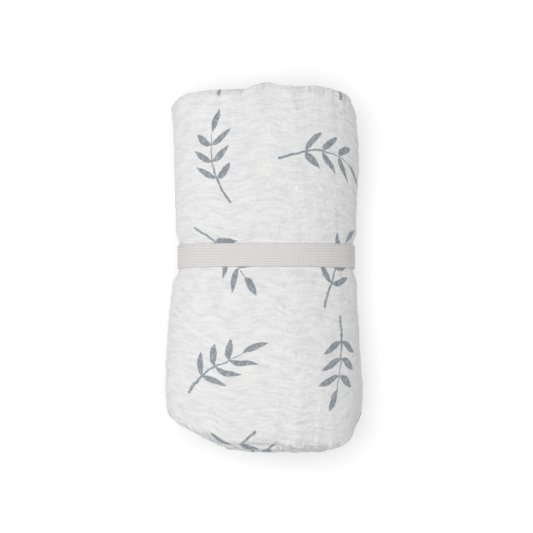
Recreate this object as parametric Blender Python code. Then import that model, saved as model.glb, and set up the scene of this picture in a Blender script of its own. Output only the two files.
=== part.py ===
"""A muslin swaddle blanket, folded to a strip, rolled up and held by a flat elastic band.

Metres, +Z up. The roll's axis runs along Y, its flat spot rests on z = 0 and the origin is
under the middle of its length. Seen from its -Y end, the outer turn starts at a free edge low
on the right, climbs the right side, crosses the top and comes down the left.
"""

import math
from collections import namedtuple

import bmesh
import bpy
from mathutils import Vector
from mathutils.geometry import convex_hull_2d

BUNDLE = 0.0053  # thickness of the folded strip: six layers of double gauze
TURNS = 6  # turns that an end face shows round its flat core
FREE_EDGE = math.radians(-50)  # where the outer turn's free edge lies, from the middle
HEM_ROUND = 0.0016  # how far that edge's rounded middle stands past its corners
SEGMENTS = 72  # points in one turn
SQUARENESS = 2.35  # exponent of the superellipse, where 2 is an ellipse
SAG = 1.185  # how far the underside would hang, beside the top, if the floor did not flatten it

SHOULDER = 0.0013  # rounding where the side meets an end face
SHOULDER_AT = 0.975  # share of the half length at which the rounding starts
CREST = 0.0020  # how far a turn's puffed edge stands out of the end face
GROOVE = 0.0004  # how far the line between two turns lies in it
DOME = 0.0015  # how far the inner turns stand out past the outer one
DOME_DEPTH = 0.0150  # depth below the side at which they do

BAND_WIDTH = 0.0127
BAND_THICKNESS = 0.0012
BAND_CENTRE = 0.0050  # the middle of the band, along Y
BAND_GAP = 0.0004

# Along is a share of the half length. Left, right and top are how far the outer turn would
# reach if the spiral didn't draw it in. The band draws the waist in and lifts it off the floor.
Section = namedtuple("Section", "along left right base top")
SECTIONS = [
    Section(-1.000, 0.0563, 0.0540, 0.0004, 0.0690),
    Section(-0.860, 0.0575, 0.0548, 0.0000, 0.0730),
    Section(-0.620, 0.0572, 0.0541, 0.0000, 0.0752),
    Section(-0.360, 0.0557, 0.0528, 0.0000, 0.0738),
    Section(-0.200, 0.0540, 0.0516, 0.0006, 0.0718),
    Section(-0.100, 0.0524, 0.0508, 0.0020, 0.0698),
    Section(-0.030, 0.0497, 0.0495, 0.0036, 0.0682),
    Section(+0.145, 0.0497, 0.0495, 0.0036, 0.0682),
    Section(+0.240, 0.0515, 0.0507, 0.0016, 0.0704),
    Section(+0.420, 0.0526, 0.0515, 0.0002, 0.0718),
    Section(+0.620, 0.0530, 0.0524, 0.0000, 0.0724),
    Section(+0.840, 0.0534, 0.0523, 0.0000, 0.0716),
    Section(+1.000, 0.0551, 0.0511, 0.0004, 0.0680),
]

# How far each end reaches from the middle of the roll, from its left side to its right.
Reach = namedtuple("Reach", "across out")
NEAR_END = [
    Reach(-0.0540, 0.0800),
    Reach(-0.0440, 0.0840),
    Reach(-0.0330, 0.0905),
    Reach(-0.0220, 0.0970),
    Reach(+0.0200, 0.0984),
    Reach(+0.0360, 0.0972),
    Reach(+0.0440, 0.0947),
    Reach(+0.0490, 0.0900),
    Reach(+0.0540, 0.0780),
]
FAR_END = [
    Reach(-0.0530, 0.0872),
    Reach(-0.0490, 0.0912),
    Reach(-0.0420, 0.0934),
    Reach(-0.0350, 0.0938),
    Reach(-0.0130, 0.0938),
    Reach(+0.0020, 0.0979),
    Reach(+0.0080, 0.0956),
    Reach(+0.0220, 0.0956),
    Reach(+0.0300, 0.0960),
    Reach(+0.0445, 0.0925),
    Reach(+0.0510, 0.0830),
]

# Colour, roughness, metallic.
MUSLIN = ((0.86, 0.855, 0.85), 0.95, 0.0)
ELASTIC = ((0.62, 0.60, 0.57), 0.80, 0.0)


def clear_scene():
    for obj in list(bpy.data.objects):
        bpy.data.objects.remove(obj, do_unlink=True)


def new_collection(name):
    collection = bpy.data.collections.new(name)
    bpy.context.scene.collection.children.link(collection)
    return collection


def new_material(name, look):
    colour, roughness, metallic = look
    material = bpy.data.materials.new(name)
    material.use_nodes = True
    shader = material.node_tree.nodes["Principled BSDF"]
    shader.inputs["Base Color"].default_value = (*colour, 1.0)
    shader.inputs["Roughness"].default_value = roughness
    shader.inputs["Metallic"].default_value = metallic
    return material


def between(rows, value):
    """The rows' later columns where the first one is the value, in straight steps."""
    value = min(max(value, rows[0][0]), rows[-1][0])
    for low, high in zip(rows, rows[1:]):
        if value <= high[0]:
            part = (value - low[0]) / (high[0] - low[0])
            return [a + (b - a) * part for a, b in zip(low[1:], high[1:])]


def swell(turned, power):
    """A superellipse's cosine or sine."""
    return math.copysign(abs(turned) ** power, turned)


def on_turn(along, angle, inset):
    """The point (x, z) of the section at this share of the length, this deep under its side."""
    left, right, base, top = between(SECTIONS, along)
    middle = (base + top) / 2
    across = (left if math.cos(angle) < 0 else right) - inset
    rise = (top - middle) * (SAG if math.sin(angle) < 0 else 1.0) - inset
    power = 2 / SQUARENESS
    x = across * swell(math.cos(angle), power)
    z = middle + rise * swell(math.sin(angle), power)
    return x, max(z, base + max(0.0, inset - BUNDLE))


def on_spiral(along, index, depth=0.0):
    """The point (x, z) this many segments round from the free edge, and this much deeper."""
    angle = FREE_EDGE + 2 * math.pi * index / SEGMENTS
    return on_turn(along, angle, BUNDLE * index / SEGMENTS + depth)


def outline(along):
    """One section's closed outline: a turn of the spiral, then the middle of the free edge."""
    rounding = SHOULDER if abs(along) == 1.0 else 0.0
    turn = [on_spiral(along, index, rounding) for index in range(SEGMENTS + 1)]
    (x0, z0), (x1, z1) = turn[0], turn[-1]
    step = math.hypot(x1 - x0, z1 - z0)
    edge_x = (x0 + x1) / 2 + HEM_ROUND * (z0 - z1) / step
    edge_z = (z0 + z1) / 2 + HEM_ROUND * (x1 - x0) / step
    return turn + [(edge_x, edge_z)]


def reach(end, x):
    return between(FAR_END if end > 0 else NEAR_END, x)[0]


def end_point(end, index, depth, out):
    """A point of an end face: on the spiral, out past the outer turn's rim by this much."""
    x, z = on_spiral(end, index, depth)
    inset = BUNDLE * index / SEGMENTS + depth
    out += DOME * min(1.0, inset / DOME_DEPTH)
    return x, end * (reach(end, x) + out), z


def close_end(mesh, rim, end):
    """Covers one end with the turns' puffed edges and the lines between them."""
    lines = rim[: SEGMENTS + 1]
    crests = [rim[-1]]
    for index in range(1, TURNS * SEGMENTS + 1):
        crest = end_point(end, index, BUNDLE / 2, CREST)
        crests.append(mesh.verts.new(crest))
        groove = end_point(end, index, BUNDLE, -GROOVE)
        lines.append(mesh.verts.new(groove))
    for index in range(TURNS * SEGMENTS):
        after = index + 1
        mesh.faces.new((lines[index], lines[after], crests[after], crests[index]))
        inner = lines[index + SEGMENTS], lines[after + SEGMENTS]
        mesh.faces.new((crests[index], crests[after], inner[1], inner[0]))
    core = lines[-SEGMENTS - 1 :] + [crests[-1]]
    centre = sum((vert.co for vert in core), Vector()) / len(core)
    middle = mesh.verts.new(centre + Vector((0, end * CREST, 0)))
    for vert, following in zip(core, core[1:] + core[:1]):
        mesh.faces.new((vert, following, middle))


def to_object(mesh, name, look, collection):
    """Makes an object of the bmesh, smooth but for its sharp edges."""
    bmesh.ops.recalc_face_normals(mesh, faces=mesh.faces)
    data = bpy.data.meshes.new(name)
    mesh.to_mesh(data)
    mesh.free()
    data.shade_smooth()
    data.set_sharp_from_angle(angle=math.radians(50))
    data.materials.append(new_material(name, look))
    collection.objects.link(bpy.data.objects.new(name, data))


def make_roll(collection):
    """A loft along the roll, closed at both ends by the spiral of its turns."""
    stations = [row.along for row in SECTIONS] + [SHOULDER_AT, -SHOULDER_AT]
    mesh = bmesh.new()
    rings = []
    for along in sorted(stations):
        ring = []
        for x, z in outline(along):
            y = along * reach(along, x)
            ring.append(mesh.verts.new((x, y, z)))
        rings.append(ring)
    for ring, following in zip(rings, rings[1:]):
        for index in range(len(ring)):
            pair = ring[index - 1], ring[index]
            mesh.faces.new((*pair, following[index], following[index - 1]))
    close_end(mesh, rings[0], -1)
    close_end(mesh, rings[-1], 1)
    to_object(mesh, "blanket_roll", MUSLIN, collection)


def offset_loop(points, distance):
    """The closed convex loop, moved out by a distance, with its corners mitred."""
    moved = []
    for index, point in enumerate(points):
        before = (point - points[index - 1]).normalized()
        after = (points[(index + 1) % len(points)] - point).normalized()
        out = Vector((before.y + after.y, -before.x - after.x)).normalized()
        square = Vector((before.y, -before.x))
        moved.append(point + out * distance / out.dot(square))
    return moved


def make_band(collection):
    """A flat closed strap, taut round the waist: it bridges the step at the free edge."""
    waist = [Vector(point) for point in outline(BAND_CENTRE / reach(1, 0))]
    taut = [waist[index] for index in convex_hull_2d(waist)]
    inner = offset_loop(taut, BAND_GAP)
    outer = offset_loop(taut, BAND_GAP + BAND_THICKNESS)
    near = BAND_CENTRE - BAND_WIDTH / 2
    far = BAND_CENTRE + BAND_WIDTH / 2
    mesh = bmesh.new()
    corners = []
    for loop, y in ((inner, near), (outer, near), (outer, far), (inner, far)):
        corners.append([mesh.verts.new((point.x, y, point.y)) for point in loop])
    for side, following in zip(corners, corners[1:] + corners[:1]):
        for index in range(len(side)):
            pair = side[index - 1], side[index]
            mesh.faces.new((*pair, following[index], following[index - 1]))
    to_object(mesh, "elastic_band", ELASTIC, collection)


def main():
    clear_scene()
    collection = new_collection("swaddle_blanket_roll")
    make_roll(collection)
    make_band(collection)


main()
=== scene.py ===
"""Looks of the rolled swaddle blanket.

The blanket is one square of double-gauze muslin. It is folded in half and then in thirds, to a
strip of six layers, and the strip is rolled up and held at its waist by a flat woven elastic.
The cloth here is that whole square, laid along its real path: back and forth through the six
layers, and round the roll from the outer free edge to the core. Metres, +Z up.
"""

import math
from collections import namedtuple
from itertools import groupby

import bpy
import numpy as np
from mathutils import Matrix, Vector, noise
from mathutils.geometry import convex_hull_2d


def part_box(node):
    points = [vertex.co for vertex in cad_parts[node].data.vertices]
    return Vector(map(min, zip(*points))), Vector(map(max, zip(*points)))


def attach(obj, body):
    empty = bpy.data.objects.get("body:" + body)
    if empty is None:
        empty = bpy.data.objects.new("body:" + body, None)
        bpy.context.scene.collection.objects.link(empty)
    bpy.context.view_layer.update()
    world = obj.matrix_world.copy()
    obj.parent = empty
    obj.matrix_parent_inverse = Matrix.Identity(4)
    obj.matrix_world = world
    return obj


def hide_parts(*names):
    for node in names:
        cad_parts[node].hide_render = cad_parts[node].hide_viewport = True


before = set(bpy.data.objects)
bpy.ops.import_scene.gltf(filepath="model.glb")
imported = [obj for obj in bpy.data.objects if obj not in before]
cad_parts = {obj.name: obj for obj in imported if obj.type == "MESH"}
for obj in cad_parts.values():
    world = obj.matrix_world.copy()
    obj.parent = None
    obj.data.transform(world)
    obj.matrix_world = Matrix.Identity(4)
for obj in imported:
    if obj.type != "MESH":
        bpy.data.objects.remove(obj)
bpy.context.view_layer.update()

CLOTH = 1.194  # side of the square blanket
SIDE_MM = CLOTH * 1000
BUNDLE = 0.0053  # thickness of the folded strip
LAYERS = 6
LAYER = BUNDLE / LAYERS
SKIN = 0.0001  # depth of the outermost layer under the CAD surface
ABOVE_FLOOR = 0.00005  # height of the cloth's lowest point
HEM = 0.008  # width of the turned hem
HEM_STEPS = (1.0, 0.6, 0.25, 0.06)  # shares of it at which the turned part has rows
HEM_LIFT = 0.0004  # how far the hem's turned part lies off its cloth

FREE_EDGE = math.radians(-50)  # the outer turn's free edge, seen from the -Y end
SQUARENESS = 2.35  # exponent of the superellipse
SAG = 1.185  # how far the underside would hang, beside the top, with no floor
FULL_HEIGHT = 0.0752  # height at which the turns aren't squeezed
RADIUS = 0.045  # of the roll, about
SAMPLE_ALONG = -0.4  # the section whose spiral the cloth's length is measured on

BAND_BOX = [Vector(corner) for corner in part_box("elastic_band")]
BAND_CENTRE = (BAND_BOX[0].y + BAND_BOX[1].y) / 2
BAND_WIDTH = BAND_BOX[1].y - BAND_BOX[0].y

# The outer turn's sections along the roll, as in the CAD model.
Section = namedtuple("Section", "along left right base top")
SECTIONS = [
    Section(-1.000, 0.0563, 0.0540, 0.0004, 0.0690),
    Section(-0.860, 0.0575, 0.0548, 0.0000, 0.0730),
    Section(-0.620, 0.0572, 0.0541, 0.0000, 0.0752),
    Section(-0.360, 0.0557, 0.0528, 0.0000, 0.0738),
    Section(-0.200, 0.0540, 0.0516, 0.0006, 0.0718),
    Section(-0.100, 0.0524, 0.0508, 0.0020, 0.0698),
    Section(-0.030, 0.0497, 0.0495, 0.0036, 0.0682),
    Section(+0.145, 0.0497, 0.0495, 0.0036, 0.0682),
    Section(+0.240, 0.0515, 0.0507, 0.0016, 0.0704),
    Section(+0.420, 0.0526, 0.0515, 0.0002, 0.0718),
    Section(+0.620, 0.0530, 0.0524, 0.0000, 0.0724),
    Section(+0.840, 0.0534, 0.0523, 0.0000, 0.0716),
    Section(+1.000, 0.0551, 0.0511, 0.0004, 0.0680),
]
Reach = namedtuple("Reach", "across out")
NEAR_END = [
    Reach(-0.0540, 0.0800),
    Reach(-0.0440, 0.0840),
    Reach(-0.0330, 0.0905),
    Reach(-0.0220, 0.0970),
    Reach(+0.0200, 0.0984),
    Reach(+0.0360, 0.0972),
    Reach(+0.0440, 0.0947),
    Reach(+0.0490, 0.0900),
    Reach(+0.0540, 0.0780),
]
FAR_END = [
    Reach(-0.0530, 0.0872),
    Reach(-0.0490, 0.0912),
    Reach(-0.0420, 0.0934),
    Reach(-0.0350, 0.0938),
    Reach(-0.0130, 0.0938),
    Reach(+0.0020, 0.0979),
    Reach(+0.0080, 0.0956),
    Reach(+0.0220, 0.0956),
    Reach(+0.0300, 0.0960),
    Reach(+0.0445, 0.0925),
    Reach(+0.0510, 0.0830),
]
# The far end's inner turns: they don't reach as far, and have no peak.
FAR_TURNS = [
    Reach(-0.0530, 0.0855),
    Reach(-0.0490, 0.0890),
    Reach(-0.0350, 0.0922),
    Reach(+0.0000, 0.0932),
    Reach(+0.0300, 0.0937),
    Reach(+0.0445, 0.0900),
    Reach(+0.0510, 0.0815),
]
FLOOR_ROUND = 0.0045  # how gently each turn bends onto the flat underside
# How far inside its turn's inset each direction's floor lies, in turns, by angle in degrees.
FLOOR_SHARE = [(-50, 0.90), (-20, 0.83), (249, 0.83), (291, 0.947), (310, 0.90)]

# Where the cloth folds over at an end: how far its tip lies inside the end's reach, how far it
# bulges, and how unevenly it lies.
Fold = namedtuple("Fold", "gap bulge uneven seed")
WRAP_ALL = Fold(-0.0016, 0.0030, 0.0013, 1)  # near end, layer 6 round to 1
WRAP_NEAR = Fold(0.0004, 0.0018, 0.0008, 2)  # near end, inside it, 2 round to 5
HALF_FOLD = Fold(0.0044, 0.0011, 0.0016, 3)  # near end, inside both, 4 round to 3
WRAP_FAR = Fold(-0.0004, 0.0022, 0.0012, 4)  # far end, 1 round to 4
WRAP_INNER = Fold(0.0016, 0.0010, 0.0008, 5)  # far end, inside it, 3 round to 2
HEM_A = Fold(0.0028, 0.0, 0.0016, 6)  # far end, the edge of layer 6
HEM_B = Fold(0.0014, 0.0, 0.0016, 7)  # far end, the edge of layer 5

# The bake's map: the outer turn fills its left part, and the turns under it the right part.
HIDDEN_SHARE = 0.04  # room for cloth that doesn't show, as a share of what it would need
MAP_MARGIN = 0.002
MAP_SPLIT = 0.78
MAP_GAP = 0.01  # between the two parts
MAP_TOP = 0.97
MAP_NEAR = 0.04  # shares of the roll's length outside which every layer may show
MAP_FAR = 0.94
MAP_LEAST = 0.0004  # the least length of cloth that a step on the map stands for

FINE_COLUMNS = 200  # columns in the outer turn
EDGE = 0.010  # width of the free edge, which has columns of its own
EDGE_STEP = 0.0008  # between them
FLAT_STEP = 0.0058  # at most this far between columns in the turns under it, in metres
BEND_STEP = math.radians(10)  # and at most this much turn
FINE_OVERLAP = 0.22  # how far the fine columns run on under the free edge, in radians
JOIN_STEP = 0.003  # from the last fine column to the first coarse one
LAST_COLUMNS = (0.0055, 0.0038, 0.0023, 0.0010, 0.0)  # before the cloth's end, in the core
CORE_EDGE = 0.0075  # where those follow on
FINE_ROWS = 150  # rows of the outer layer along the roll
PUSH = 0.0005  # extra room under the outer layer, away from the ends
PUSH_DEPTH = 0.010  # depth at which most of it has gone

FULLNESS = 0.8  # exponent of a fold's section, where 1 is an ellipse
HALF_STRIP = 0.099  # half the folded strip's width

SET_BACK = 0.0040  # how far inside the other turns the near end's top edge lies
SET_BACK_TAPER = 0.065  # where along X that would come to nothing
SET_BACK_FROM = (0.45, 0.9)  # where it sets in, in radians round from the free edge
SET_BACK_TO = (3.4, 4.3)  # and where it goes
SET_BACK_ACROSS = (0.026, 0.036)  # and where it goes to each side, along X
SCALLOP = 0.013  # length of the scallops in that edge
INNER_FROM = (1.5 * math.pi, 2.3 * math.pi)  # where the turn under the outer one takes over
DOME = 0.0014  # how far the inner turns stand out past the outer one
DOME_DEPTH = 0.0150  # depth at which they do
MOST_TURNS = 7.5  # more turns than the cloth has length for
LOOSE = 0.0021  # how much further the innermost turn sinks in than the strip's thickness
LOOSE_TURNS = 6.5

# Unevenness of the roll's side, with features this high, this long along Y and this wide.
Ripple = namedtuple("Ripple", "height length width seed")
LUMPS = Ripple(0.0011, 0.060, 0.055, 3.0)
RIDGES = Ripple(0.0008, 0.110, 0.019, 21.0)
CRINKLE = Ripple(0.00040, 0.0036, 0.014, 57.0)
PEBBLE = Ripple(0.00040, 0.0055, 0.0065, 83.0)
CREASES = Ripple(0.0026, 0.045, 0.0080, 33.0)  # out from the band
PUCKERS = Ripple(0.0032, 0.060, 0.0095, 71.0)  # in from the ends
DRIFT = Ripple(0.16, 0.050, 0.040, 9.0)  # how far ridges wander round the roll, in radians
SHIFT = Ripple(0.005, 0.020, 0.018, 45.0)  # how far the crinkle wanders along it
RIDGE = 0.22  # share of the noise's range that a ridge takes up
CREASES_REACH = 0.012
PUCKERS_REACH = 0.016
PUFF = 0.0009  # how far the cloth swells beside the band
PUFF_AT = 0.008  # from the band's side
PUFF_WIDTH = 0.006
UNDER_BAND = 0.12  # share of the unevenness that's left under it
FREE_FROM = 0.007  # distance from it at which all of it is there
RELIEF_DEPTH = 0.008  # depth in the roll at which most of it has gone

# How much the strip's ends thicken and thin, or move out and in, and over what length.
PLUMPER = (0.34, 0.017)
UNEVEN = (0.20, 0.007)
STIR = (0.0003, 0.011)
THINNER = 0.10  # how much thinner they are for all that
PUFFED_REACH = 0.010
STAGGER = 0.0016  # how far back the layers' hems lie, about
STAGGER_REACH = 0.012

# Where the hidden layers have rows: close together where the waist's hollow bends them.
INNER_SHARES = [0.0, 0.05, 0.15, 0.30, 0.42, 0.48, 0.525, 0.57, 0.63, 0.78, 0.93, 1.0]


def smoothed(rows, column, spread):
    """(places, values) of a table's column, rounded over a spread each way."""
    places = np.linspace(rows[0][0], rows[-1][0], 601)
    values = np.interp(places, [row[0] for row in rows], [row[column] for row in rows])
    count = int(round(spread / (places[1] - places[0])))
    kernel = np.hanning(2 * count + 3)[1:-1]
    padded = np.pad(values, count, mode="reflect", reflect_type="odd")
    return places, np.convolve(padded, kernel / kernel.sum(), "valid")


LEFT, RIGHT, BASE, TOP = [smoothed(SECTIONS, column, 0.07) for column in range(1, 5)]
NEAR_REACH = smoothed(NEAR_END, 1, 0.005)
FAR_REACH = smoothed(FAR_END, 1, 0.004)
NEAR_INNER = smoothed(NEAR_END, 1, 0.016)
FAR_INNER = smoothed(FAR_TURNS, 1, 0.008)


def smoothstep(low, high, value):
    share = np.clip((value - low) / (high - low), 0.0, 1.0)
    return share * share * (3 - 2 * share)


def rounded_max(first, second, width):
    """The larger of the two, with a smooth change from one to the other."""
    near = np.maximum(width - np.abs(first - second), 0.0)
    return np.maximum(first, second) + near * near / (4 * width)


def perlin(x, y, z):
    """Perlin noise, about -1 to 1, at arrays of places."""
    x, y, z = np.broadcast_arrays(x, y, z)
    places = zip(x.ravel().tolist(), y.ravel().tolist(), z.ravel().tolist())
    values = np.fromiter((noise.noise(place) for place in places), float, x.size)
    return values.reshape(x.shape)


def around(turned, y, length, width, seed):
    """Noise on the roll's side, with features this long along Y and this wide round it."""
    radius = RADIUS / width
    return perlin(np.cos(turned) * radius + seed, np.sin(turned) * radius, y / length)


def section(along, turned, inset, lift=0.0):
    """(x, z) this far round from the free edge and this deep in the roll."""
    angle = FREE_EDGE + turned
    left, right, base, top = [np.interp(along, *side) for side in (LEFT, RIGHT, BASE, TOP)]
    squeeze = (top - base) / FULL_HEIGHT
    middle = (base + top) / 2
    depth = inset * squeeze - lift
    across = np.where(np.cos(angle) < 0, left, right) - depth
    rise = (top - middle) * np.where(np.sin(angle) < 0, SAG, 1.0) - depth
    power = 2 / SQUARENESS
    x = across * np.sign(np.cos(angle)) * np.abs(np.cos(angle)) ** power
    z = middle + rise * np.sign(np.sin(angle)) * np.abs(np.sin(angle)) ** power
    degrees = (np.degrees(angle) + 50) % 360 - 50
    share = np.interp(degrees, [row[0] for row in FLOOR_SHARE], [row[1] for row in FLOOR_SHARE])
    floor = base + (inset - BUNDLE * share) * squeeze
    return x, rounded_max(z, floor, FLOOR_ROUND)


def wound_in(turned):
    """How deep the strip's outer face lies, this far round from the free edge."""
    turns = turned / (2 * math.pi)
    return BUNDLE * turns + LOOSE * (turns / LOOSE_TURNS) ** 3


def lengths_round():
    """(turned, length): the cloth's length from the free edge to each place round the spiral."""
    turned = np.linspace(0, MOST_TURNS * 2 * math.pi, 6000)
    x, z = section(SAMPLE_ALONG, turned, wound_in(turned) + BUNDLE / 2)
    steps = np.hypot(np.diff(x), np.diff(z))
    return turned, np.concatenate([[0.0], np.cumsum(steps)])


TURNED, LENGTH_ROUND = lengths_round()


def turned_at(length):
    return np.interp(length, LENGTH_ROUND, TURNED)


def length_at(turned):
    return np.interp(turned, TURNED, LENGTH_ROUND)


def ripple(kind, turned, y):
    """One kind of soft unevenness."""
    return kind.height * around(turned, y, kind.length, kind.width, kind.seed)


def ridged(kind, turned, y):
    """One kind of unevenness with narrow ridges."""
    return kind.height * (RIDGE - np.abs(around(turned, y, kind.length, kind.width, kind.seed)))


def relief(turned, y, inset, from_end):
    """How far the cloth stands off its smooth form: lumps, ridges, creases and crinkle."""
    from_band = np.abs(y - BAND_CENTRE) - BAND_WIDTH / 2
    free = smoothstep(0.0, FREE_FROM, from_band)
    drift = turned + ripple(DRIFT, turned, y)
    crinkle = ripple(CRINKLE, turned, y + ripple(SHIFT, turned, y))
    creases = ridged(CREASES, drift, y) * np.exp(-np.maximum(from_band, 0.0) / CREASES_REACH)
    puckers = ridged(PUCKERS, drift, y) * np.exp(-np.maximum(from_end, 0.0) / PUCKERS_REACH)
    puff = PUFF * np.exp(-(((from_band - PUFF_AT) / PUFF_WIDTH) ** 2))
    height = ripple(LUMPS, turned, y) + ripple(RIDGES, drift, y)
    height = height + crinkle + ripple(PEBBLE, turned, y)
    height = height * (UNDER_BAND + (1 - UNDER_BAND) * free)
    height += creases * free + puff + puckers
    return height * np.exp(-inset / RELIEF_DEPTH)


# One row of the cloth: its share of the way along the roll, the folds that it runs between, how
# far inside each end's reach it would lie, and its depth in the strip.
Row = namedtuple("Row", "share near near_gap far far_gap depth")


def layer_depth(layer):
    return SKIN + (layer - 1) * LAYER


def run(layer, near, far, shares):
    """Rows of one layer along the roll, from its near fold to its far one as the shares say."""
    near_gap = near.gap + near.bulge
    far_gap = far.gap + far.bulge
    return [Row(share, near, near_gap, far, far_gap, layer_depth(layer)) for share in shares]


def turn(share, fold, start, finish, count):
    """Rows that carry the cloth round a fold, from one layer to another."""
    rows = []
    middle = (layer_depth(start) + layer_depth(finish)) / 2
    half = (layer_depth(finish) - layer_depth(start)) / 2
    for step in range(1, count):
        swing = math.pi * (step / count - 0.5)
        gap = fold.gap + fold.bulge * (1 - math.cos(swing) ** FULLNESS)
        depth = middle + half * math.copysign(abs(math.sin(swing)) ** FULLNESS, swing)
        rows.append(Row(share, fold, gap, fold, gap, depth))
    return rows


def hem_rows(layer, near, hem):
    """Rows of a hem's turned part, from its cut edge to the fold."""
    rows = []
    for step in HEM_STEPS:
        lift = HEM_LIFT * min(1.0, 0.5 + step)
        gap = hem.gap + HEM * step
        rows.append(Row(1.0, near, near.gap, hem, gap, layer_depth(layer) + lift))
    return rows


def rows_of_cloth(outer):
    """(rows, start, finish): every row across the cloth, from layer 6's hem to layer 5's.

    Start and finish are where the outer layer's rows begin and end.
    """
    back = INNER_SHARES[::-1]
    rows = hem_rows(6, WRAP_ALL, HEM_A)
    rows += run(6, WRAP_ALL, HEM_A, back)
    rows += turn(0.0, WRAP_ALL, 6, 1, 12)
    start = len(rows)
    rows += run(1, WRAP_ALL, WRAP_FAR, outer)
    finish = len(rows)
    rows += turn(1.0, WRAP_FAR, 1, 4, 8)
    rows += run(4, HALF_FOLD, WRAP_FAR, back)
    rows += turn(0.0, HALF_FOLD, 4, 3, 4)
    rows += run(3, HALF_FOLD, WRAP_INNER, INNER_SHARES)
    rows += turn(1.0, WRAP_INNER, 3, 2, 4)
    rows += run(2, WRAP_NEAR, WRAP_INNER, back)
    rows += turn(0.0, WRAP_NEAR, 2, 5, 7)
    rows += run(5, WRAP_NEAR, HEM_B, INNER_SHARES)
    rows += hem_rows(5, WRAP_NEAR, HEM_B)[::-1]
    return rows, start, finish


def flat_across(rows):
    """Each row's place across the flat cloth, as a share of its side, from its nominal path."""
    y = []
    for row in rows:
        near = row.near_gap - HALF_STRIP
        far = HALF_STRIP - row.far_gap
        y.append((1 - row.share) * near + row.share * far)
    depth = [row.depth for row in rows]
    steps = np.hypot(np.diff(y), np.diff(depth))
    across = np.concatenate([[0.0], np.cumsum(steps)])
    return across / across[-1]


def fold_places(rows):
    """How far across the flat cloth each of its folds lies, in mm."""
    at_rows = zip(flat_across(rows) * SIDE_MM, rows)
    stretches = [list(group) for _, group in groupby(at_rows, key=lambda pair: pair[1].share)]
    folds = [stretch for stretch in stretches[1:-1] if len(stretch) > 1]
    return [sum(place for place, _ in fold) / len(fold) for fold in folds]


def flat_places(rows, lengths):
    """The places on the flat cloth, as shares of its side, of a block of points."""
    across, along = np.meshgrid(flat_across(rows), lengths / CLOTH)
    return np.stack([across, along], axis=-1).reshape(-1, 2)


def map_across(rows, outer):
    """Each row's place across the bake's map, where cloth that shows gets most of the room."""
    share = np.array([row.share for row in rows])
    on_top = np.array([row.depth for row in rows]) == layer_depth(1)
    middle = (share[1:] + share[:-1]) / 2
    at_end = (middle < MAP_NEAR) | (middle > MAP_FAR)
    shows = at_end | (outer & on_top[1:] & on_top[:-1])
    widths = np.diff(flat_across(rows)) * np.where(shows, 1.0, HIDDEN_SHARE)
    across = np.concatenate([[0.0], np.cumsum(widths)])
    return across / across[-1]


def map_places(across, lengths, left, right):
    """A block's places on the bake's map, between these two sides of it."""
    steps = np.maximum(np.abs(np.diff(lengths)), MAP_LEAST)
    along = np.concatenate([[0.0], np.cumsum(steps)])
    along = MAP_MARGIN + along / along[-1] * (MAP_TOP - MAP_MARGIN)
    across, along = np.meshgrid(left + across * (right - left), along)
    return np.stack([across, along], axis=-1).reshape(-1, 2)


def reach(outer, inner, x, turned, inset):
    """How far an end reaches. The inner turns have gentler corners, and stand out in a dome."""
    under = smoothstep(*INNER_FROM, turned)
    out = (1 - under) * np.interp(x, *outer) + under * np.interp(x, *inner)
    return out + DOME * smoothstep(0.0, DOME_DEPTH, inset)


def set_back(turned, x):
    """How far the near end's upper edges lie inside the turns under them."""
    round_once = turned % (2 * math.pi)
    inner, outer = SET_BACK_ACROSS
    over = smoothstep(*SET_BACK_FROM, round_once) * (1 - smoothstep(*SET_BACK_TO, round_once))
    stretch = smoothstep(-outer, -inner, x) * (1 - smoothstep(inner, outer, x))
    turns_under = np.exp(-turned / (2 * math.pi))
    scallops = 1 + 0.5 * perlin(x / SCALLOP, turned * 0.3, 0.0)
    taper = 1 - x / SET_BACK_TAPER
    return SET_BACK * over * stretch * taper * scallops * turns_under


def puffed(rows, lengths, from_end):
    """How far each point moves out as the strip's ends thicken and thin along the roll."""
    plump = PLUMPER[0] * perlin(lengths / PLUMPER[1], 3.3, 0.7) - THINNER
    plump = plump + UNEVEN[0] * perlin(lengths / UNEVEN[1], 8.3, 0.2)
    depth = np.array([row.depth for row in rows])[None, :]
    stir = STIR[0] * perlin(lengths / STIR[1], 6.1, 4.4)
    fade = np.exp(-np.maximum(from_end, 0.0) / PUFFED_REACH)
    return ((BUNDLE / 2 - depth) * plump[:, None] + stir[:, None]) * fade


def staggered(rows, lengths):
    """The cloth's lengths with each layer's hem a little further back than the free edge."""
    back = STAGGER + STAGGER * perlin(flat_across(rows) * 16, 4.2, 0.5)
    at_start = np.exp(-np.maximum(lengths, 0.0) / STAGGER_REACH)
    fade = at_start - np.exp((lengths - CLOTH) / STAGGER_REACH)
    return np.maximum(lengths, 0.0)[:, None] + back[None, :] * fade[:, None]


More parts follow.
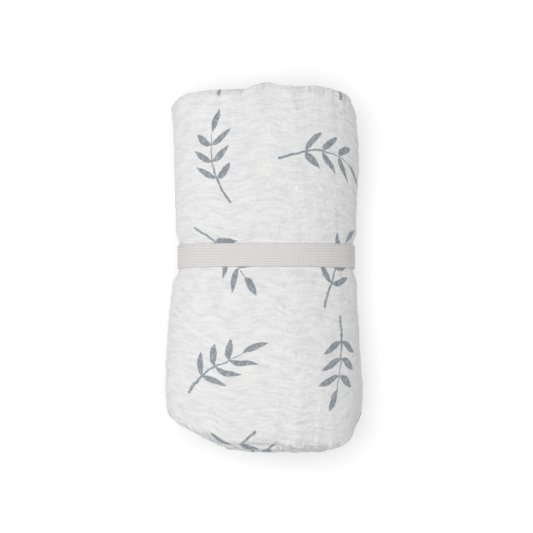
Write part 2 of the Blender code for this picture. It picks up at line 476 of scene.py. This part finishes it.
def place(rows, lengths, lifts):
    """The points of a block of the cloth: one row of the array for each length round the roll."""
    turned = turned_at(staggered(rows, lengths))
    depth = np.array([row.depth for row in rows])[None, :] + lifts[:, None]
    share = np.array([row.share for row in rows])[None, :]
    edges = [uneven(rows, turned[:, len(rows) // 2], side) for side in ("near", "far")]
    inset = wound_in(turned) + depth
    inside = (1 - np.abs(2 * share - 1)) ** 0.5
    under = smoothstep(SKIN, SKIN + LAYER, inset) * np.exp(-inset / PUSH_DEPTH)
    inset = inset + PUSH * inside * under
    along = 2 * share - 1
    for _ in range(3):
        x, z = section(along, turned, inset)
        near = reach(NEAR_REACH, NEAR_INNER, x, turned, inset) - set_back(turned, x)
        far = reach(FAR_REACH, FAR_INNER, x, turned, inset)
        y = (1 - share) * (edges[0] - near) + share * (far - edges[1])
        along = np.clip(np.where(y < 0, y / near, y / far), -1.0, 1.0)
    from_end = np.minimum(near + y, far - y)
    lift = relief(turned, y, inset, from_end) + puffed(rows, lengths, from_end)
    x, z = section(along, turned, inset, lift)
    return np.stack([x, y, z], axis=-1)


def uneven(rows, turned, side):
    """Each row's gap at one end, wavering round the roll as its fold does."""
    gaps = np.array([getattr(row, side + "_gap") for row in rows])[None, :]
    waver = {}
    for fold in {getattr(row, side) for row in rows}:
        slow = perlin(turned * 1.3, fold.seed * 7.3, 0.5)
        fast = perlin(turned * 4.1, fold.seed * 3.1, 8.5)
        fine = perlin(turned * 9.7, fold.seed * 5.9, 2.5)
        waver[fold] = fold.uneven * (1.2 * slow + 0.8 * fast + 0.35 * fine)
    return gaps + np.stack([waver[getattr(row, side)] for row in rows], axis=1)


def spaced(start, finish):
    """Lengths between these two, closer together where the spiral bends."""
    x, z = section(SAMPLE_ALONG, TURNED, wound_in(TURNED) + BUNDLE / 2)
    heading = np.unwrap(np.arctan2(np.gradient(z), np.gradient(x)))
    bends = np.concatenate([[0.0], np.cumsum(np.abs(np.diff(heading)))])
    measure = LENGTH_ROUND / FLAT_STEP + bends / BEND_STEP
    ends = np.interp([start, finish], LENGTH_ROUND, measure)
    places = np.linspace(*ends, int(ends[1] - ends[0]) + 2)
    return np.interp(places, measure, LENGTH_ROUND)


def columns_of_cloth():
    """(lengths, lifts, fine): the columns from the free edge's hem to the core."""
    hem = [HEM * step for step in HEM_STEPS]
    hem_lift = [HEM_LIFT, HEM_LIFT, HEM_LIFT * 0.75, HEM_LIFT * 0.5]
    first = np.arange(0.0, EDGE, EDGE_STEP)
    fine_end = 2 * math.pi + FINE_OVERLAP
    pitch = 2 * math.pi / FINE_COLUMNS
    fine = length_at(np.arange(turned_at(EDGE), fine_end, pitch))
    coarse = spaced(fine[-1] + JOIN_STEP, CLOTH - CORE_EDGE)
    last = CLOTH - np.array(LAST_COLUMNS)
    lengths = np.concatenate([hem, first, fine, coarse, last])
    lifts = np.zeros(len(lengths))
    lifts[: len(hem)] = hem_lift
    return lengths, lifts, len(hem) + len(first) + len(fine)


def corners_of(mesh):
    """The point that each corner of each face is at."""
    corners = np.empty(len(mesh.loops), np.int32)
    mesh.loops.foreach_get("vertex_index", corners)
    return corners


def add_map(mesh, name, places):
    """Adds a UV map from each corner's place."""
    layer = mesh.uv_layers.new(name=name)
    layer.uv.foreach_set("vector", np.asarray(places, np.float32).ravel())


def new_piece(name, points, faces, flat=None):
    """A smooth mesh object, with its points' flat places as its UV map."""
    mesh = bpy.data.meshes.new(name)
    mesh.from_pydata(np.asarray(points).tolist(), [], faces)
    mesh.shade_smooth()
    if flat is not None:
        add_map(mesh, "flat", np.asarray(flat)[corners_of(mesh)])
    obj = bpy.data.objects.new(name, mesh)
    bpy.context.scene.collection.objects.link(obj)
    return obj


def quads(first, next_first, count):
    """Faces between two columns of this many rows each."""
    steps = np.arange(count - 1)
    return np.stack(
        [first + steps, first + steps + 1, next_first + steps + 1, next_first + steps], axis=1
    )


def fan(fine, fine_count, coarse, coarse_count):
    """Faces from a column of many rows to one of few, along the same stretch."""
    faces = []
    at = 0
    for step in range(1, coarse_count):
        upto = round(step * (fine_count - 1) / (coarse_count - 1))
        middle = (at + upto) // 2
        for index in range(at, upto):
            corner = coarse + step - (1 if index < middle else 0)
            faces.append((fine + index, fine + index + 1, corner))
        faces.append((fine + middle, coarse + step, coarse + step - 1))
        at = upto
    return faces


def cloth_faces(fine, coarse, columns, split):
    """(faces, joined): the cloth's faces, last those from the fine block to the coarse one.

    Fine and coarse are what rows_of_cloth gave for each block. Split is how many of the columns
    are the fine one's. Joined is how many faces come before those last ones.
    """
    rows, start, finish = fine
    few, few_start, few_finish = coarse
    base = split * len(rows)
    faces = []
    for column in range(split - 1):
        first = column * len(rows)
        faces += quads(first, first + len(rows), len(rows)).tolist()
    for column in range(columns - split - 1):
        first = base + column * len(few)
        faces += quads(first, first + len(few), len(few)).tolist()
    joined = len(faces)
    edge = base - len(rows)
    faces += quads(edge, base, start + 1).tolist()
    faces += quads(edge + finish - 1, base + few_finish - 1, len(rows) - finish + 1).tolist()
    faces += fan(edge + start, finish - start, base + few_start, few_finish - few_start)
    return faces, joined


def add_bake_map(mesh, rows, few, lengths, split, joined):
    """Adds the map that the bake uses, in which no faces overlap."""
    across = map_across(rows, True)
    fine_right = MAP_MARGIN + MAP_SPLIT - MAP_GAP
    fine_map = map_places(across, lengths[:split], MAP_MARGIN, fine_right)
    coarse_map = map_places(map_across(few, False), lengths[split:], MAP_SPLIT, 1 - MAP_MARGIN)
    places = np.concatenate([fine_map, coarse_map])
    corners = corners_of(mesh)
    baked = places[corners]
    # The faces between the two blocks lie past the fine one's end.
    beside = np.interp(flat_across(few), flat_across(rows), across)
    base = split * len(rows)
    places[base : base + len(few), 0] = MAP_MARGIN + beside * (fine_right - MAP_MARGIN)
    places[base : base + len(few), 1] = 1 - MAP_MARGIN
    baked[4 * joined :] = places[corners[4 * joined :]]
    add_map(mesh, "OFBake", baked)


def make_blanket():
    """The whole blanket as one open sheet, finely made where it shows."""
    fine = rows_of_cloth([index / (FINE_ROWS - 1) for index in range(FINE_ROWS)])
    coarse = rows_of_cloth(INNER_SHARES)
    rows, few = fine[0], coarse[0]
    lengths, lifts, split = columns_of_cloth()
    fine_block = place(rows, lengths[:split], lifts[:split])
    coarse_block = place(few, lengths[split:], lifts[split:])
    points = np.concatenate([fine_block.reshape(-1, 3), coarse_block.reshape(-1, 3)])
    points[:, 2] -= points[:, 2].min() - ABOVE_FLOOR
    faces, joined = cloth_faces(fine, coarse, len(lengths), split)
    flat = np.concatenate([flat_places(rows, lengths[:split]), flat_places(few, lengths[split:])])
    obj = new_piece("muslin_blanket", points, faces, flat)
    add_bake_map(obj.data, rows, few, lengths, split, joined)
    return obj


# ---- the elastic

ELASTIC_THICK = 0.0011
ELASTIC_GAP = 0.00015
ELASTIC_RIBS = 9
RIB_POINTS = 5  # points across each rib
BACK_STEPS = 8  # and across the whole flat back
PICK = 0.0011  # pitch of the elastic's cross threads
PICK_RELIEF = 0.00003  # how far they move the ribbed face up or down
PICK_BULGE = 0.00006  # how far every other one moves the sides out, and the rest move them in
ELASTIC_STEP = PICK / 2
WAIST_MARGIN = 0.0005  # how far past its sides the cloth still holds it out
ROUNDING = 10  # steps each way over which the loop's corners are rounded
OVERLAP = 0.018  # the elastic's sewn overlap, on the underside
OVERLAP_AT = 0.0  # where it starts, along X
RISE = 0.006  # the stretch in which its upper end climbs onto its lower one


def waist_loop(blanket):
    """The taut line round the cloth under the band: its points (x, z), evenly spaced."""
    count = len(blanket.data.vertices)
    places = np.empty(count * 3, np.float32)
    blanket.data.vertices.foreach_get("co", places)
    places = places.reshape(-1, 3)
    under = np.abs(places[:, 1] - BAND_CENTRE) < BAND_WIDTH / 2 + WAIST_MARGIN
    across = [Vector((x, z)) for x, _, z in places[under].tolist()]
    hull = np.array([across[index] for index in convex_hull_2d(across)])
    start = np.argmin(np.hypot(hull[:, 0] - OVERLAP_AT, hull[:, 1]))
    hull = np.roll(hull, -start, axis=0)
    hull = np.concatenate([hull, hull[:1]])
    steps = np.hypot(*np.diff(hull, axis=0).T)
    run_on = np.concatenate([[0.0], np.cumsum(steps)])
    count = int(run_on[-1] / ELASTIC_STEP)
    even = np.linspace(0, run_on[-1], count, endpoint=False)
    loop = np.stack([np.interp(even, run_on, hull[:, side]) for side in (0, 1)], axis=1)
    kernel = np.hanning(2 * ROUNDING + 3)[1:-1]
    kernel /= kernel.sum()
    wrapped = np.concatenate([loop[-ROUNDING:], loop, loop[:ROUNDING]])
    rounded = [np.convolve(wrapped[:, side], kernel, "valid") for side in (0, 1)]
    return np.stack(rounded, axis=1)


def elastic_profile():
    """(across, up) round the elastic's section: a ribbed face, and a flat back."""
    ribs = []
    count = ELASTIC_RIBS * RIB_POINTS
    for step in range(count + 1):
        share = step / count
        edge = min(1.0, min(share, 1 - share) * 22)
        rib = abs(math.cos(math.pi * ELASTIC_RIBS * share))
        height = ELASTIC_THICK * (0.55 + 0.25 * math.sqrt(edge) + 0.20 * (1 - rib) * edge)
        ribs.append((BAND_WIDTH * (share - 0.5), height))
    back = [(BAND_WIDTH * (0.5 - step / BACK_STEPS), 0.0) for step in range(BACK_STEPS + 1)]
    return ribs, back


def outward(loop):
    """The direction out of the loop at each of its points."""
    ahead = np.roll(loop, -1, axis=0) - np.roll(loop, 1, axis=0)
    ahead /= np.linalg.norm(ahead, axis=1)[:, None]
    out = np.stack([ahead[:, 1], -ahead[:, 0]], axis=1)
    if (out * (loop - loop.mean(axis=0))).sum() < 0:
        out = -out
    return out


def elastic_points(loop, ribs, back, total):
    """(points, flat): the strip's points, and their places on its own flat cloth."""
    out = outward(loop)
    points = []
    flat = []
    for index in range(total):
        at = index % len(loop)
        over = smoothstep(len(loop) - RISE / ELASTIC_STEP, len(loop), index)
        lift = ELASTIC_GAP + over * (ELASTIC_THICK + 0.0001)
        pick = 1 if index % 2 else -1
        for order, (across, up) in enumerate(ribs + back):
            rib = 1 if order // RIB_POINTS % 2 else -1
            woven = pick * rib * PICK_RELIEF if order < len(ribs) else 0.0
            bulge = pick * PICK_BULGE if abs(across) > 0.48 * BAND_WIDTH else 0.0
            y = BAND_CENTRE + across + bulge * math.copysign(1.0, across)
            place = loop[at] + out[at] * (lift + up + woven)
            points.append((place[0], y, place[1]))
            flat.append((across / BAND_WIDTH + 0.5, index / total))
    return points, flat


def elastic_faces(profile, total):
    """(faces, baked): the strip's faces, and their corners' places on the bake's map."""
    size = len(profile)
    lefts = [MAP_MARGIN + side / size * (1 - 2 * MAP_MARGIN) for side in range(size + 1)]
    lows = [MAP_MARGIN + row / total * (MAP_TOP - MAP_MARGIN) for row in range(total)]
    faces = []
    baked = []
    for index in range(total - 1):
        first = index * size
        low, high = lows[index : index + 2]
        for order in range(size):
            after = first + (order + 1) % size
            faces.append((first + order, after, after + size, first + size + order))
            left, right = lefts[order : order + 2]
            baked += [(left, low), (right, low), (right, high), (left, high)]
    last = (total - 1) * size
    faces.append(tuple(range(size))[::-1])
    faces.append(tuple(range(last, last + size)))
    ends = [(0.5 + 0.9 * across / BAND_WIDTH, up / ELASTIC_THICK) for across, up in profile]
    baked += [(across, 0.975 + 0.008 * up) for across, up in ends[::-1]]
    baked += [(across, 0.988 + 0.008 * up) for across, up in ends]
    return faces, baked


def make_elastic(blanket):
    """(piece, length): one strip, its upper end lapped over its lower one and sewn."""
    loop = waist_loop(blanket)
    ribs, back = elastic_profile()
    total = len(loop) + int(OVERLAP / ELASTIC_STEP)
    points, flat = elastic_points(loop, ribs, back, total)
    faces, baked = elastic_faces(ribs + back, total)
    obj = new_piece("woven_elastic", points, faces, flat)
    add_map(obj.data, "OFBake", baked)
    return obj, total * ELASTIC_STEP


# ---- materials

class Shader:
    """Builds a node tree: every call adds a node and gives back its output."""

    def __init__(self, name):
        self.material = bpy.data.materials.new(name)
        self.material.use_nodes = True
        self.tree = self.material.node_tree
        self.tree.nodes.clear()

    def node(self, kind, inputs=(), **settings):
        made = self.tree.nodes.new(kind)
        for key, value in settings.items():
            setattr(made, key, value)
        for key, value in dict(inputs).items():
            self.put(made.inputs[key], value)
        return made

    def put(self, socket, value):
        if isinstance(value, bpy.types.NodeSocket):
            self.tree.links.new(value, socket)
        else:
            socket.default_value = value

    def math(self, operation, *values):
        made = self.node("ShaderNodeMath", operation=operation)
        for socket, value in zip(made.inputs, values):
            self.put(socket, value)
        return made.outputs[0]

    def vector(self, operation, *values):
        made = self.node("ShaderNodeVectorMath", operation=operation)
        for socket, value in zip(made.inputs, values):
            self.put(socket, value)
        return made.outputs[0]

    def combine(self, x, y, z=0.0):
        return self.node("ShaderNodeCombineXYZ", {0: x, 1: y, 2: z}).outputs[0]

    def split(self, vector):
        return self.node("ShaderNodeSeparateXYZ", {0: vector}).outputs

    def noise(self, vector, scale, detail=2.0, roughness=0.5):
        inputs = {"Vector": vector, "Scale": scale, "Detail": detail, "Roughness": roughness}
        return self.node("ShaderNodeTexNoise", inputs, noise_dimensions="3D").outputs[0]

    def scaled(self, vector, scale):
        inputs = {0: vector, "Scale": scale}
        return self.node("ShaderNodeVectorMath", inputs, operation="SCALE").outputs[0]

    def edge(self, inside, softness=0.3):
        """1 where this distance inside a shape is positive, 0 outside, and soft between."""
        return self.ramp(inside, -softness, softness)

    def ramp(self, value, low, high, start=0.0, finish=1.0):
        inputs = {"Value": value, 1: low, 2: high, 3: start, 4: finish}
        made = self.node("ShaderNodeMapRange", inputs, interpolation_type="SMOOTHSTEP")
        return made.outputs[0]

    def mix(self, share, first, second):
        made = self.node("ShaderNodeMix", data_type="RGBA")
        self.put(made.inputs[0], share)
        self.put(made.inputs[6], first)
        self.put(made.inputs[7], second)
        return made.outputs[2]

    def bump(self, height, distance, strength=1.0, normal=None):
        inputs = {"Height": height, "Distance": distance, "Strength": strength}
        if normal is not None:
            inputs["Normal"] = normal
        return self.node("ShaderNodeBump", inputs).outputs[0]

    def finish(self, surface):
        self.node("ShaderNodeOutputMaterial", {"Surface": surface})
        return self.material


# Sizes on the flat cloth, in mm.
SPRIG_PITCH = 60.0  # between the print's sprigs
STEM_HALF = 21.0  # half its length
STEM_BACK = 3.0  # how far its middle lies behind the sprig's
TIP_AT = 23.0  # the middle of the leaf that ends it
LEAF_SPACING = 9.5
LEAF_LENGTH = 10.5  # across the stem
LEAF_LEAN = 0.8  # how far forward a leaf runs for each mm out
LEAF_PAIRS = 3
STITCH_LINE = 6.5  # from the hem's edge
STITCH_PITCH = 3.0
STITCH_SHARE = 0.72  # of the pitch that a stitch takes up
STITCH_HALF = 0.25  # half its width
THREAD_PITCH = 0.62  # of the gauze
PLEATS_REACH = 7.0  # from a fold

WHITE = (0.85, 0.847, 0.845, 1.0)
# Darker white: partly the slubs' own tone, partly painted shade in the crinkle's troughs.
WHITE_SLUBS_AND_TROUGH_SHADE = (0.75, 0.74, 0.75, 1.0)
INK = (0.25, 0.285, 0.32, 1.0)
STITCH_SHADE = (0.62, 0.61, 0.61, 1.0)
VALLEY_SHADE = (0.56, 0.55, 0.56, 1.0)  # where a pleat's valley shades itself
# Painted shade in the elastic's grooves.
ELASTIC_GROOVE_SHADE = (0.585, 0.57, 0.555, 1.0)
ELASTIC_WHITE = (0.765, 0.748, 0.733, 1.0)


def sprig_mask(shader, flat_mm):
    """Where a scatter of brush-drawn leaf sprigs covers the cloth, from 0 to 1."""
    cell = shader.scaled(flat_mm, 1 / SPRIG_PITCH)
    inputs = {"Vector": cell, "Scale": 1.0, "Randomness": 0.34}
    cells = shader.node("ShaderNodeTexVoronoi", inputs, voronoi_dimensions="2D").outputs
    local = shader.scaled(shader.vector("SUBTRACT", cell, cells["Position"]), SPRIG_PITCH)
    x, y, _ = shader.split(local)
    turned, bent, _ = shader.split(cells["Color"])
    angle = shader.math("MULTIPLY", turned, 2 * math.pi)
    cosine = shader.math("COSINE", angle)
    sine = shader.math("SINE", angle)
    x_cosine = shader.math("MULTIPLY", x, cosine)
    y_cosine = shader.math("MULTIPLY", y, cosine)
    aside = shader.math("SUBTRACT", x_cosine, shader.math("MULTIPLY", y, sine))
    ahead = shader.math("ADD", y_cosine, shader.math("MULTIPLY", x, sine))
    waver = shader.noise(flat_mm, 0.22)
    aside = shader.math("ADD", aside, shader.math("MULTIPLY_ADD", waver, 1.6, -0.8))
    curve = shader.math("MULTIPLY_ADD", bent, 0.014, 0.002)
    bow = shader.math("MULTIPLY", shader.math("MULTIPLY", ahead, ahead), curve)
    aside = shader.math("SUBTRACT", aside, bow)
    side = shader.math("ABSOLUTE", aside)
    # The brush's edge is rough.
    rough = shader.math("MULTIPLY_ADD", shader.noise(flat_mm, 1.5, 3.0), 0.7, -0.35)
    # The stem tapers towards its tip.
    width = shader.ramp(ahead, -24.0, 18.0, 0.75, 0.25)
    stem = shader.edge(shader.math("SUBTRACT", width, shader.math("ADD", side, rough)))
    past = shader.math("ABSOLUTE", shader.math("ADD", ahead, STEM_BACK))
    stem = shader.math("MULTIPLY", stem, shader.edge(shader.math("SUBTRACT", STEM_HALF, past)))
    # Pairs of leaves lean out and forward, each fuller behind its vein than before it.
    root = shader.math("MULTIPLY_ADD", side, -LEAF_LEAN, ahead)
    step = shader.math("FLOORED_MODULO", shader.math("ADD", root, LEAF_SPACING / 2), LEAF_SPACING)
    from_vein = shader.math("SUBTRACT", step, LEAF_SPACING / 2)
    share = shader.math("DIVIDE", side, LEAF_LENGTH)
    swell = shader.math("MULTIPLY", share, shader.math("SUBTRACT", 1.0, share))
    before = shader.math("SUBTRACT", shader.math("MULTIPLY", swell, 6.0), from_vein)
    behind = shader.math("MULTIPLY_ADD", swell, 13.0, from_vein)
    inside = shader.math("MINIMUM", before, behind)
    leaf = shader.edge(shader.math("ADD", inside, rough))
    pairs = shader.math("SUBTRACT", LEAF_SPACING * LEAF_PAIRS / 2, shader.math("ABSOLUTE", root))
    leaf = shader.math("MULTIPLY", leaf, shader.edge(pairs))
    leaf = shader.math("MULTIPLY", leaf, shader.edge(shader.math("SUBTRACT", LEAF_LENGTH, side)))
    # One leaf more ends the stem.
    on_tip = shader.math("SUBTRACT", ahead, TIP_AT)
    tip_width = shader.math("MULTIPLY_ADD", shader.math("MULTIPLY", on_tip, on_tip), -0.045, 1.9)
    tip = shader.edge(shader.math("SUBTRACT", tip_width, shader.math("ADD", side, rough)))
    return shader.math("MAXIMUM", shader.math("MAXIMUM", stem, leaf), tip)


def stitch_mask(shader, x, y):
    """Where the hems' stitches are, from 0 to 1, on all four sides."""
    masks = []
    for across, along in ((x, y), (y, x)):
        from_edge = shader.math("MINIMUM", across, shader.math("SUBTRACT", SIDE_MM, across))
        off_line = shader.math("ABSOLUTE", shader.math("SUBTRACT", from_edge, STITCH_LINE))
        on_line = shader.edge(shader.math("SUBTRACT", STITCH_HALF, off_line), 0.15)
        step = shader.math("FLOORED_MODULO", along, STITCH_PITCH)
        off_stitch = shader.math("ABSOLUTE", shader.math("SUBTRACT", step, STITCH_PITCH / 2))
        half = STITCH_PITCH * STITCH_SHARE / 2
        stitch = shader.edge(shader.math("SUBTRACT", half, off_stitch), 0.15)
        masks.append(shader.math("MULTIPLY", on_line, stitch))
    return shader.math("MAXIMUM", *masks)


def pleats(shader, x, y, folds):
    """How far small pleats, across the folds and out from them, stand up or down."""
    from_fold = SIDE_MM
    for place in folds:
        away = shader.math("ABSOLUTE", shader.math("SUBTRACT", x, place))
        from_fold = shader.math("MINIMUM", from_fold, away)
    fade = shader.ramp(from_fold, 1.5, PLEATS_REACH, 1.0, 0.0)
    waver = shader.math("MULTIPLY_ADD", shader.noise(shader.combine(x, y), 0.12), 5.0, y)
    drawn = shader.combine(shader.math("MULTIPLY", x, 0.09), shader.math("MULTIPLY", waver, 0.40))
    height = shader.math("SUBTRACT", shader.noise(drawn, 1.0, 4.0, 0.6), 0.5)
    return shader.math("MULTIPLY", height, fade)


def muslin(folds):
    """White double gauze: crinkled, loosely woven, with a scattered blue-grey print."""
    shader = Shader("muslin")
    uv = shader.node("ShaderNodeUVMap", uv_map="flat").outputs[0]
    flat_mm = shader.scaled(uv, SIDE_MM)
    x, y, _ = shader.split(flat_mm)
    # The crinkle runs round the roll: long round it, short along it.
    warp = shader.noise(flat_mm, 0.05)
    along = shader.math("MULTIPLY_ADD", warp, 9.0, x)
    short = shader.math("MULTIPLY", along, 0.38)
    long = shader.math("MULTIPLY", y, 0.11)
    crinkle = shader.noise(shader.combine(short, long), 1.0, 4.0, 0.6)
    bubbles = shader.noise(flat_mm, 0.36, 3.0, 0.6)
    threads = []
    for place in (x, y):
        turned = shader.math("MULTIPLY", place, math.pi / THREAD_PITCH)
        threads.append(shader.math("ABSOLUTE", shader.math("SINE", turned)))
    weave = shader.math("MAXIMUM", *threads)
    slubs = shader.noise(shader.combine(x, shader.math("MULTIPLY", y, 0.08)), 1.1, 1.0)
    stitches = stitch_mask(shader, x, y)
    normal = shader.bump(crinkle, 0.0011, 0.75)
    normal = shader.bump(bubbles, 0.0012, 0.8, normal)
    pleated = pleats(shader, x, y, folds)
    normal = shader.bump(pleated, 0.0018, 0.8, normal)
    normal = shader.bump(weave, 0.00014, 0.7, normal)
    normal = shader.bump(stitches, 0.0003, 0.9, normal)
    # Painted shade: the crinkle's troughs are darker, mixed with the slubs' own uneven tone.
    depth = shader.math("MULTIPLY_ADD", slubs, 0.35, shader.math("MULTIPLY", crinkle, 0.65))
    cloth = shader.mix(shader.ramp(depth, 0.34, 0.60), WHITE_SLUBS_AND_TROUGH_SHADE, WHITE)
    cloth = shader.mix(shader.ramp(pleated, -0.14, -0.03, 0.65, 0.0), cloth, VALLEY_SHADE)
    cloth = shader.mix(shader.math("MULTIPLY", stitches, 0.55), cloth, STITCH_SHADE)
    dryness = shader.ramp(shader.noise(flat_mm, 0.5, 4.0, 0.65), 0.32, 0.58, 0.68, 1.0)
    ink = shader.math("MULTIPLY", sprig_mask(shader, flat_mm), dryness)
    colour = shader.mix(ink, cloth, INK)
    inputs = {
        "Base Color": colour,
        "Roughness": 0.92,
        "Specular IOR Level": 0.25,
        "Sheen Weight": 0.2,
        "Sheen Roughness": 0.6,
        "Normal": normal,
    }
    return shader.finish(shader.node("ShaderNodeBsdfPrincipled", inputs).outputs[0])


def elastic_cloth(length):
    """Off-white woven elastic: ribs of cord along it, crossed by the picks that cover them."""
    shader = Shader("elastic")
    uv = shader.node("ShaderNodeUVMap", uv_map="flat").outputs[0]
    across, along, _ = shader.split(uv)
    turned = shader.math("MULTIPLY", across, math.pi * ELASTIC_RIBS)
    rib = shader.math("ABSOLUTE", shader.math("SINE", turned))
    turned = shader.math("MULTIPLY", along, math.pi * length / PICK)
    pick = shader.math("ABSOLUTE", shader.math("SINE", turned))
    flatter = shader.math("POWER", pick, 0.35)
    weave = shader.math("MULTIPLY", shader.math("POWER", rib, 0.6), flatter)
    place = shader.node("ShaderNodeTexCoord").outputs["Object"]
    fuzz = shader.noise(place, 2600.0, 3.0)
    uneven_tone = shader.math("MULTIPLY_ADD", shader.noise(place, 240.0), 0.3, -0.15)
    # Painted shade: darker in the grooves between the ribs and between the picks, with an uneven
    # tone at random on top.
    colour = shader.mix(shader.math("ADD", weave, uneven_tone), ELASTIC_GROOVE_SHADE, ELASTIC_WHITE)
    normal = shader.bump(pick, 0.00022, 0.8)
    normal = shader.bump(fuzz, 0.0001, 0.5, normal)
    inputs = {"Base Color": colour, "Roughness": 0.8, "Sheen Weight": 0.15, "Normal": normal}
    return shader.finish(shader.node("ShaderNodeBsdfPrincipled", inputs).outputs[0])


def white_floor():
    """Matt white that glows a little, and more where the lights don't reach."""
    shader = Shader("floor")
    place = shader.node("ShaderNodeTexCoord").outputs["Object"]
    distance = shader.node("ShaderNodeVectorMath", {0: place}, operation="LENGTH").outputs["Value"]
    glow = shader.ramp(distance, 0.4, 2.0, 0.18, 0.9)
    inputs = {
        "Base Color": (0.90, 0.90, 0.90, 1.0),
        "Roughness": 0.9,
        "Emission Color": (1.0, 1.0, 1.0, 1.0),
        "Emission Strength": glow,
    }
    return shader.finish(shader.node("ShaderNodeBsdfPrincipled", inputs).outputs[0])


# ---- putting it together

SKY = 0.18  # strength of the light from all round


def make_light(name, place, size, energy, colour=(1, 1, 1)):
    light = bpy.data.objects.new(name, bpy.data.lights.new(name, "AREA"))
    light.data.shape = "DISK"
    light.data.size = size
    light.data.energy = energy
    light.data.color = colour
    light.location = place
    light.rotation_euler = (-light.location).to_track_quat("-Z", "Y").to_euler()
    bpy.context.scene.collection.objects.link(light)


def make_studio():
    """A white floor, and soft light mostly from the left."""
    floor_size = 4.0
    corners = [(-floor_size, -floor_size, 0), (floor_size, -floor_size, 0)]
    corners += [(floor_size, floor_size, 0), (-floor_size, floor_size, 0)]
    floor = new_piece("floor", corners, [(0, 1, 2, 3)])
    floor.data.materials.append(white_floor())
    make_light("side", Vector((-1.0, 0.0, 0.6)), 0.9, 3.1)
    make_light("top", Vector((0.0, 0.0, 1.7)), 1.6, 25.0)
    world = bpy.data.worlds.new("studio")
    bpy.context.scene.world = world
    world.use_nodes = True
    backdrop = world.node_tree.nodes["Background"]
    backdrop.inputs["Color"].default_value = (1, 1, 1, 1)
    # The backdrop is white, and lights the roll only a little.
    seen = world.node_tree.nodes.new("ShaderNodeLightPath").outputs["Is Camera Ray"]
    strength = world.node_tree.nodes.new("ShaderNodeMath")
    strength.operation = "MULTIPLY_ADD"
    world.node_tree.links.new(seen, strength.inputs[0])
    strength.inputs[1].default_value = 1.0 - SKY
    strength.inputs[2].default_value = SKY
    world.node_tree.links.new(strength.outputs[0], backdrop.inputs["Strength"])
    bpy.context.scene.view_settings.view_transform = "Standard"


def make_camera():
    data = bpy.data.cameras.new("camera")
    data.lens = 135
    camera = bpy.data.objects.new("camera", data)
    bpy.context.scene.collection.objects.link(camera)
    bpy.context.scene.camera = camera
    tilt = math.radians(2.5)
    centre = Vector((0.0011, 0.0, 0.036))
    camera.location = centre + 1.1 * Vector((0, -math.sin(tilt), math.cos(tilt)))
    camera.rotation_euler = (tilt, 0, 0)


def main():
    blanket = make_blanket()
    rows, _, _ = rows_of_cloth(INNER_SHARES)
    blanket.data.materials.append(muslin(fold_places(rows)))
    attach(blanket, "root")
    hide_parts("blanket_roll")
    elastic, length = make_elastic(blanket)
    elastic.data.materials.append(elastic_cloth(length))
    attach(elastic, "root")
    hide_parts("elastic_band")
    make_studio()
    make_camera()


main()
